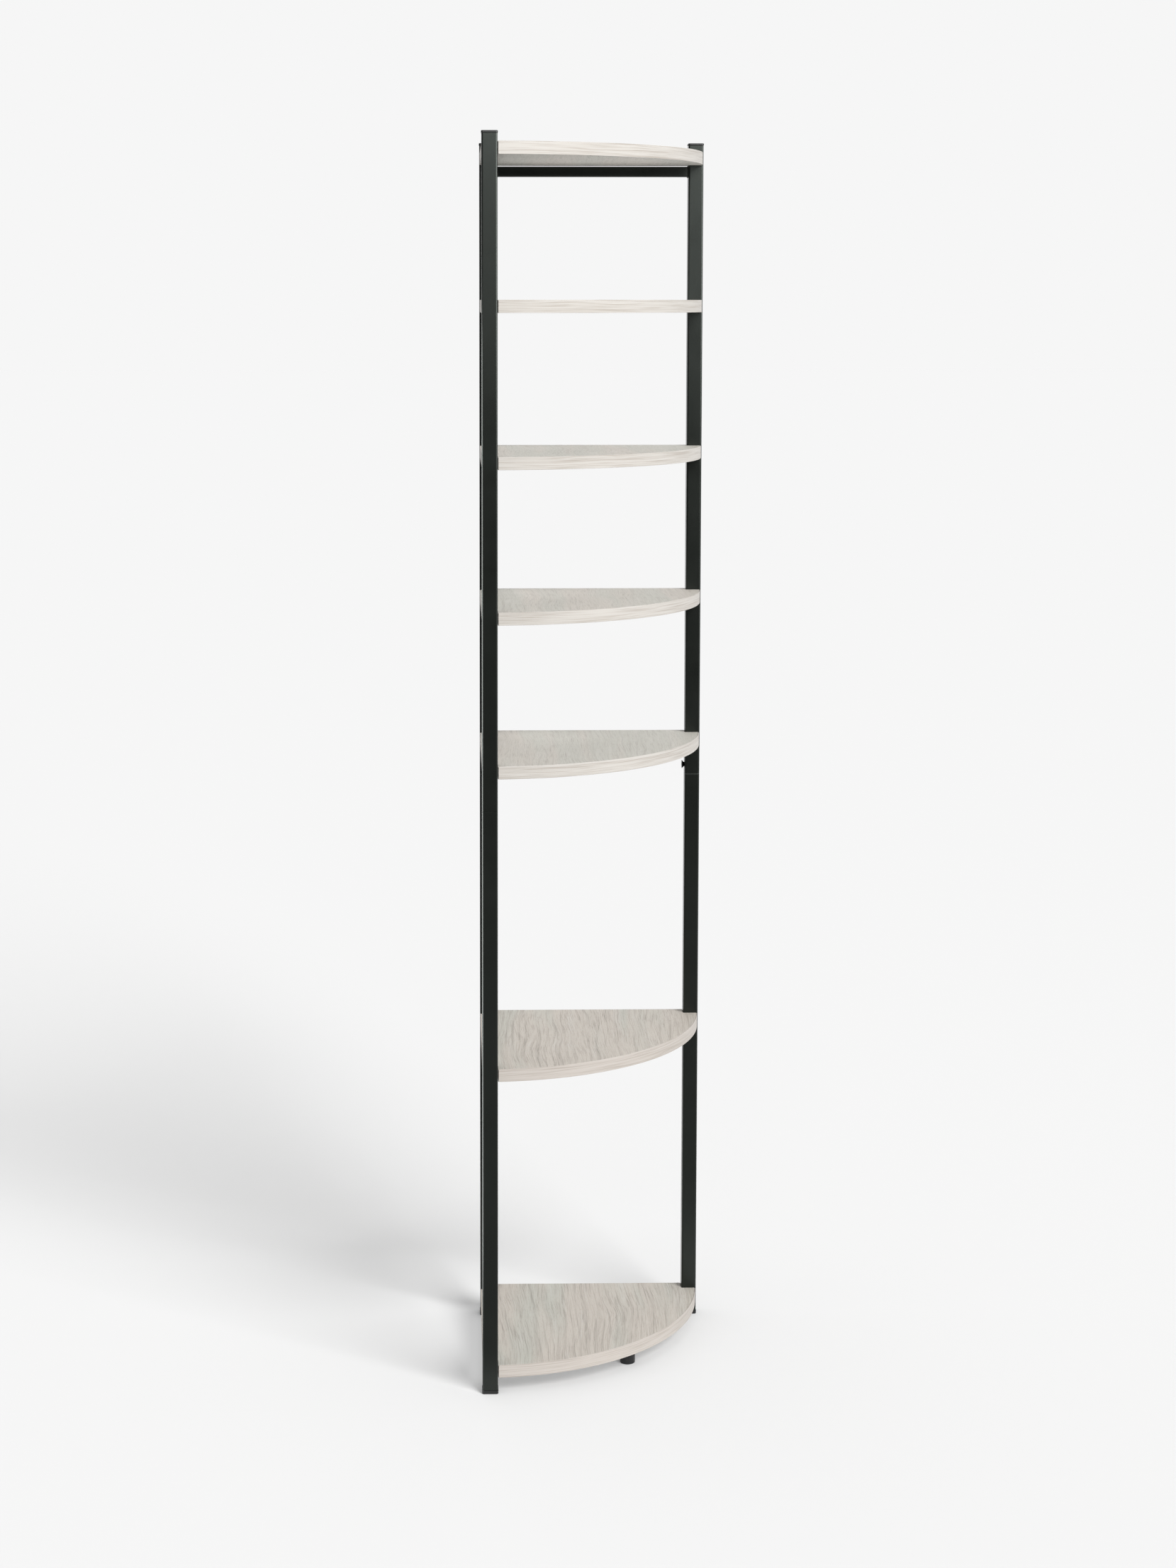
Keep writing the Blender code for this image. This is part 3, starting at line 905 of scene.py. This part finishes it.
def plugged_end(name, head_low, head_high, rim, plug_end):
    """A head with a rounded outer rim, and a plug from its other face to a height."""
    head = new_block(name, head_low, head_high)
    outer, inner = (head_high.z, head_low.z) if plug_end < head_low.z else (head_low.z, head_high.z)
    open_up(head)
    pick("EDGE", runs_along(2))
    bpy.ops.mesh.bevel(offset=HEAD_CORNER, segments=6, affect="EDGES")
    pick("EDGE", lies_at(2, outer))
    bpy.ops.mesh.bevel(offset=rim, segments=4, affect="EDGES")
    pick("FACE", lies_at(2, inner))
    proud = (head_high.x - head_low.x - TUBE_SIDE) / 2 + TUBE_WALL + PLUG_GAP
    bpy.ops.mesh.inset(thickness=proud)
    bpy.ops.mesh.extrude_region_move(TRANSFORM_OT_translate={"value": (0, 0, plug_end - inner)})
    close_up()
    ease(head, HEAD_EASE)
    return head


for post in POSTS:
    tube_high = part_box(f"{post}_post_upper")[1]
    low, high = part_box(f"{post}_post_cap")
    head_low = Vector((low.x, low.y, tube_high.z + CAP_GAP))
    cap = plugged_end(f"{post}_cap", head_low, high, CAP_RIM, low.z)
    dress(cap, "black_plastic", plastic, f"{post}_post_cap")

    tube_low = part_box(f"{post}_post_lower")[0]
    low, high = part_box(f"{post}_post_glide")
    head_high = Vector((high.x, high.y, tube_low.z - GLIDE_GAP))
    glide = plugged_end(f"{post}_glide", low, head_high, GLIDE_RIM, high.z)
    dress(glide, "black_plastic", plastic, f"{post}_post_glide")
print("tube side in mm:", round(TUBE_SIDE / MM, 2))

# %% [markdown]
# ## Centre foot
#
# A round plastic foot carries the bottom shelf near the middle of its curve. A cylinder
# gets a rounded rim below, and an inset and an extrusion make the recess that hides the
# head of its screw.

# %% Foot
FOOT_SIDES = 96
FOOT_RIM = 1 * MM
FOOT_EASE = 0.25 * MM
FOOT_RECESS_RADIUS = 4.8 * MM
FOOT_RECESS_DEPTH = 9 * MM

low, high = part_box("centre_foot")
centre = (low + high) / 2
radius = (high.x - low.x) / 2
foot = new_rod(
    "round_foot",
    radius,
    (centre.x, centre.y, low.z),
    (centre.x, centre.y, high.z),
    FOOT_SIDES,
)
open_up(foot)
pick("EDGE", lies_at(2, low.z))
bpy.ops.mesh.bevel(offset=FOOT_RIM, segments=4, affect="EDGES")
pick("FACE", lies_at(2, low.z))
bpy.ops.mesh.inset(thickness=radius - FOOT_RIM - FOOT_RECESS_RADIUS)
bpy.ops.mesh.extrude_region_move(TRANSFORM_OT_translate={"value": (0, 0, FOOT_RECESS_DEPTH)})
close_up()
ease(foot, FOOT_EASE)
dress(foot, "black_plastic", plastic, "centre_foot")
print("foot radius in mm:", round(radius / MM, 2))

# %% [markdown]
# ## Joint screws
#
# Above each seam a furniture screw holds the sleeve inside the tubes. Its black head is
# flared and stands out of the tube. It grows from a disc by short extrusions, each made a
# little wider than the last, and a six-sided tool cuts the socket.

# %% One joint screw, and its copies
JOINT_HEAD = 4 * MM
JOINT_FLARE = ((0.8, 3.3), (1.7, 4.0), (2.5, 4.9), (3.2, 6.0), (4.0, 6.0))  # height, radius, mm
JOINT_SHANK = 3 * MM  # radius
JOINT_LENGTH = 7.5 * MM
JOINT_KEY = 4 * MM  # across the socket's flats
JOINT_SOCKET = 1.8 * MM  # height of the socket's floor
JOINT_EASE = 0.15 * MM
JOINT_SIDE = {"corner": Vector((1, 0, 0)), "front": Vector((0, 1, 0)), "right": Vector((-1, 0, 0))}
KEY_END = 9 * MM  # well above every head
SHANK_SIDES = 48


def step_out(centre, rise, growth):
    """Extrudes the selected face along Z and makes it wider about the axis."""
    bpy.ops.mesh.extrude_region_move(TRANSFORM_OT_translate={"value": (0, 0, rise)})
    bpy.ops.transform.resize(value=(growth, growth, 1), center_override=centre)


def hex_socket(screw, across_flats, bottom):
    """Cuts a six-sided socket along Z."""
    cut(screw, new_rod("key", across_flats / math.sqrt(3), (0, 0, bottom), (0, 0, KEY_END), 6))


def shank_and_head(name, shank, length, outline):
    """A screw along Z with its bearing face at 0: a shank, and a head that grows from it."""
    screw = new_rod(name, shank, (0, 0, -length), (0, 0, 0), SHANK_SIDES)
    open_up(screw)
    pick("FACE", lies_at(2, 0))
    height, radius = 0, shank
    for rise, reach in outline:
        step_out((0, 0, rise * MM), rise * MM - height, reach * MM / radius)
        height, radius = rise * MM, reach * MM
    close_up()
    return screw


def set_in(screw, name, node, out, head):
    """A copy of a screw that points out of its node's box, its head at the outer end."""
    low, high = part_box(node)
    axis = 0 if out.x else 1
    point = (low + high) / 2
    point[axis] = high[axis] - head if out[axis] > 0 else low[axis] + head
    return copied(screw, name, point, out.to_track_quat("Z", "Y").to_euler())


joint_screw = shank_and_head("joint_screw", JOINT_SHANK, JOINT_LENGTH, JOINT_FLARE)
hex_socket(joint_screw, JOINT_KEY, JOINT_SOCKET)
ease(joint_screw, JOINT_EASE)
for post, out in JOINT_SIDE.items():
    node = f"{post}_joint_screw"
    piece = set_in(joint_screw, f"{post}_joint_bolt", node, out, JOINT_HEAD)
    dress(piece, "black_screw_steel", oxide, node)
bpy.data.objects.remove(joint_screw)

# %% [markdown]
# ## Shelf screws
#
# Twenty-one zinc-plated screws hold the boards. Their heads sit inside the tubes and show
# only through the holes at the back, so one short model with a round head and a hexagon
# socket is enough, copied to every place.

# %% One shelf screw, and its copies
SCREW_HEAD = 2.8 * MM
SCREW_OUTLINE = ((0, 4.5), (2.2, 4.5), (2.6, 4.2), (2.8, 3.7))  # height, radius, mm
SCREW_SHANK = 2.5 * MM  # radius
SCREW_LENGTH = 26.5 * MM
SCREW_KEY = 3 * MM  # across the socket's flats
SCREW_SOCKET = 1.2 * MM  # height of the socket's floor
SCREW_EASE = 0.12 * MM

shelf_screw = shank_and_head("shelf_screw", SCREW_SHANK, SCREW_LENGTH, SCREW_OUTLINE)
hex_socket(shelf_screw, SCREW_KEY, SCREW_SOCKET)
ease(shelf_screw, SCREW_EASE)
placed = 0
for number in SHELVES:
    for post, out in WALL_SIDE.items():
        node = f"shelf_{number}_{post}_screw"
        piece = set_in(shelf_screw, f"shelf_bolt_{number}_{post}", node, out, SCREW_HEAD)
        dress(piece, "zinc_plated_steel", zinc, node)
        placed += 1
bpy.data.objects.remove(shelf_screw)
print("shelf screws:", placed)

# %% [markdown]
# ## What stays as the CAD has it
#
# The sleeves inside the tubes and the foot's own screw are hardly seen. Their CAD shapes
# stay, and only their finish changes.

# %% Finishes for the kept nodes
kept = [f"{post}_joint_sleeve" for post in POSTS] + ["centre_foot_screw"]
for node in kept:
    for holder in frame["nodes"][node].material_slots:
        holder.material = zinc.material
print("kept nodes:", kept)

# %% [markdown]
# ## Floor
#
# The floor is a wide, plain, pale sheet. It carries no pattern of its own: its one job is
# to catch the soft shadow. It reaches so far that its edge lies at the horizon.

# %% Floor sheet
FLOOR_SIZE = 120

bpy.ops.object.select_all(action="DESELECT")
bpy.ops.mesh.primitive_plane_add(size=FLOOR_SIZE)
floor = bpy.context.active_object
floor.name = "studio_floor"
paper = Finish("studio_paper", Roughness=1.0, Specular_IOR_Level=0.0)
paper.feed(paper.shader, {"Base Color": (FLOOR_TONE, FLOOR_TONE, FLOOR_TONE, 1)})
floor.data.materials.append(paper.material)

# %% [markdown]
# ## What the black coat mirrors
#
# Satin black has hardly a colour of its own: it shows what it mirrors. So the photographer
# of black things builds their reflections. Here the cards are thin boards that only
# reflections see: one in front of the unit with a flap on the floor, black above and glowing
# a faint grey below, and a tall one at the left. A strip before the back rail keeps that black.

# %% Cards
CARD = 2 * MM
CARD_LEFT = -0.9
CARD_RIGHT = 1.1
CARD_Y = -1.2
CARD_TOP = 1.42
FLAP_END = -0.25  # how far back the part on the floor reaches
WING_END = 0.9
WING_TOP = 2.2
CARD_GREY = 0.24  # radiance at the floor, which fades upwards
FADE_TOP = 0.9
RAIL_FLAG = 30 * MM  # a strip this far before the back rail keeps it black

front_low = Vector((CARD_LEFT, CARD_Y - CARD, CARD))
front_card = new_block("front_card", front_low, (CARD_RIGHT, CARD_Y, CARD_TOP))
flap = new_block("flap", (CARD_LEFT, CARD_Y, CARD / 2), (CARD_RIGHT, FLAP_END, CARD))
wing = new_block("wing", (CARD_LEFT - CARD, CARD_Y, CARD), (CARD_LEFT, WING_END, WING_TOP))
rail_low, rail_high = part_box("back_rail")
before = Vector((0, RAIL_FLAG, 0))
flag_high = Vector((rail_high.x, rail_low.y + CARD, rail_high.z))
flag = new_block("flag", rail_low - before, flag_high - before)
cards = joined([front_card, flap, wing, flag])
glowing_felt = Finish(
    "glowing_felt", Base_Color=(0, 0, 0, 1), Roughness=1.0, Specular_IOR_Level=0.0, Emission_Strength=1.0
)
fade = glowing_felt.step(glowing_felt.place()[2], 0.0, FADE_TOP)
grey = (CARD_GREY, CARD_GREY, CARD_GREY, 1)
glowing_felt.feed(glowing_felt.shader, {"Emission Color": glowing_felt.mix(fade, grey, (0, 0, 0, 1))})
cards.data.materials.append(glowing_felt.material)
hide_from(cards, "camera", "diffuse", "transmission", "volume_scatter", "shadow")
print("cards joined:", cards.name)

# %% [markdown]
# ## Softer shadows
#
# The photograph's shadows are paler than an even room and one soft key light leave them. A
# faintly glowing card just under the bottom board lifts the shadow on the floor, and a
# narrow lamp does so along its left side. Three small lamps under upper boards light the
# back corner of the shelf below, and a wide one on the second shelf lights the underside
# of the top shelf. None of them is seen, and no reflection shows them.

# %% A glow under the bottom board
FILL_GLOW = 0.9  # radiance
FILL_FRONT = (0.255, 0.315)  # where the glow fades out, from the corner of the walls
FILL_LEFT = (-0.055, -0.015)  # where it sets in, from the left wall

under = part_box("shelf_7_board")[0].z - CARD
fill = new_block(
    "fill_card",
    (left_wall + FILL_LEFT[0], back_wall - FILL_FRONT[1], under),
    (left_wall + FILL_FRONT[1], back_wall, under + CARD / 2),
)
glow = Finish(
    "glow",
    Base_Color=(0, 0, 0, 1),
    Roughness=1.0,
    Specular_IOR_Level=0.0,
    Emission_Color=(1, 1, 1, 1),
    Emission_Strength=FILL_GLOW,
)
x, y, z = glow.place()
from_left, from_back = x - left_wall, y - back_wall
from_corner = glow.sum("POWER", from_left * from_left + from_back * from_back, 0.5)
inside = (1 - glow.step(from_corner, *FILL_FRONT)) * glow.step(from_left, *FILL_LEFT)
glow.feed(glow.shader, {"Alpha": inside})
fill.data.materials.append(glow.material)
hide_from(fill, "camera", "glossy", "transmission", "volume_scatter", "shadow")
print("glowing card at a height in mm:", round(under / MM, 1))

# %% Small lamps
NOOK_LAMPS = {2: (0.04, 5.2), 3: (0.07, 3.7), 4: (0.10, 2.8)}  # under each board: width, radiance
NOOK_DEPTH = 0.04
NOOK_LEFT = 0.025  # from the left wall to a lamp's end
NOOK_BACK = 0.045  # from the back wall to its middle
NOOK_REACH = 0.13  # how wide a patch it lights on the shelf below
UPWARD_SPOT = (0.03, 0.02)
UPWARD_SIDE = 0.24
UPWARD_GLOW = 1.7  # radiance
STRIP_SPOT = Vector((-0.176, 0.02, 0.02))  # lower than the glowing card, which would hide it
STRIP_SIDES = (0.02, 0.35)
STRIP_SPREAD = 110  # degrees
STRIP_GLOW = 0.3  # radiance

for number, (width, brightness) in NOOK_LAMPS.items():
    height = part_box(f"shelf_{number}_board")[0].z - CARD
    spot = Vector((left_wall + NOOK_LEFT + width / 2, back_wall - NOOK_BACK, height))
    below = Vector((spot.x, spot.y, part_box(f"shelf_{number + 1}_board")[1].z))
    lamp = new_panel(f"nook_lamp_{number}", spot, below, (width, NOOK_DEPTH), brightness)
    lamp.data.spread = 2 * math.atan(NOOK_REACH / (spot.z - below.z))
    hide_from(lamp, "glossy")

spot = Vector((*UPWARD_SPOT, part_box("shelf_2_board")[1].z + CARD))
above = Vector((*UPWARD_SPOT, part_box("shelf_1_board")[0].z))
upward = new_panel("upward_lamp", spot, above, (UPWARD_SIDE, UPWARD_SIDE), UPWARD_GLOW)
hide_from(upward, "glossy")

straight_down = STRIP_SPOT - Vector((0, 0, 1))
strip = new_panel("strip_lamp", STRIP_SPOT, straight_down, STRIP_SIDES, STRIP_GLOW)
strip.data.spread = math.radians(STRIP_SPREAD)
hide_from(strip, "glossy")
print("small lamps:", len(NOOK_LAMPS) + 2)

# %% [markdown]
# ## Light lines on the posts
#
# The rounded corners of the posts shine as thin light lines in the photograph. Two lamps
# that shine on black parts alone, which Blender calls light linking, draw them.

# %% Lamps for the rounded corners
GLINT_SPOT = Vector((1.58, -1.52, 1.85))
GLINT_AIM = Vector((0.0, 0.0, 1.5))
GLINT_SIDES = (1.6, 1.0)
GLINT_GLOW = 9
RIM_SPOT = Vector((-0.6, -0.175, 0.75))
RIM_AIM = Vector((0.0, -0.175, 0.75))
RIM_SIDES = (0.55, 1.49)
RIM_GLOW = 8


def shine_only_on(lamp, pieces):
    """Limits a lamp to the gloss of some pieces."""
    hide_from(lamp, "diffuse", "transmission", "volume_scatter")
    lit = bpy.data.collections.new(f"lit_by_{lamp.name}")
    for piece in pieces:
        lit.objects.link(piece)
    lamp.light_linking.receiver_collection = lit


black = (powder.material, plastic.material)
black_parts = [
    piece
    for piece in bpy.context.scene.objects
    if any(holder.material in black for holder in piece.material_slots)
]
glint = new_panel("corner_glint", GLINT_SPOT, GLINT_AIM, GLINT_SIDES, GLINT_GLOW)
shine_only_on(glint, black_parts)
rim = new_panel("rim_glint", RIM_SPOT, RIM_AIM, RIM_SIDES, RIM_GLOW)
shine_only_on(rim, [piece for piece in black_parts if piece.name.startswith("front_")])
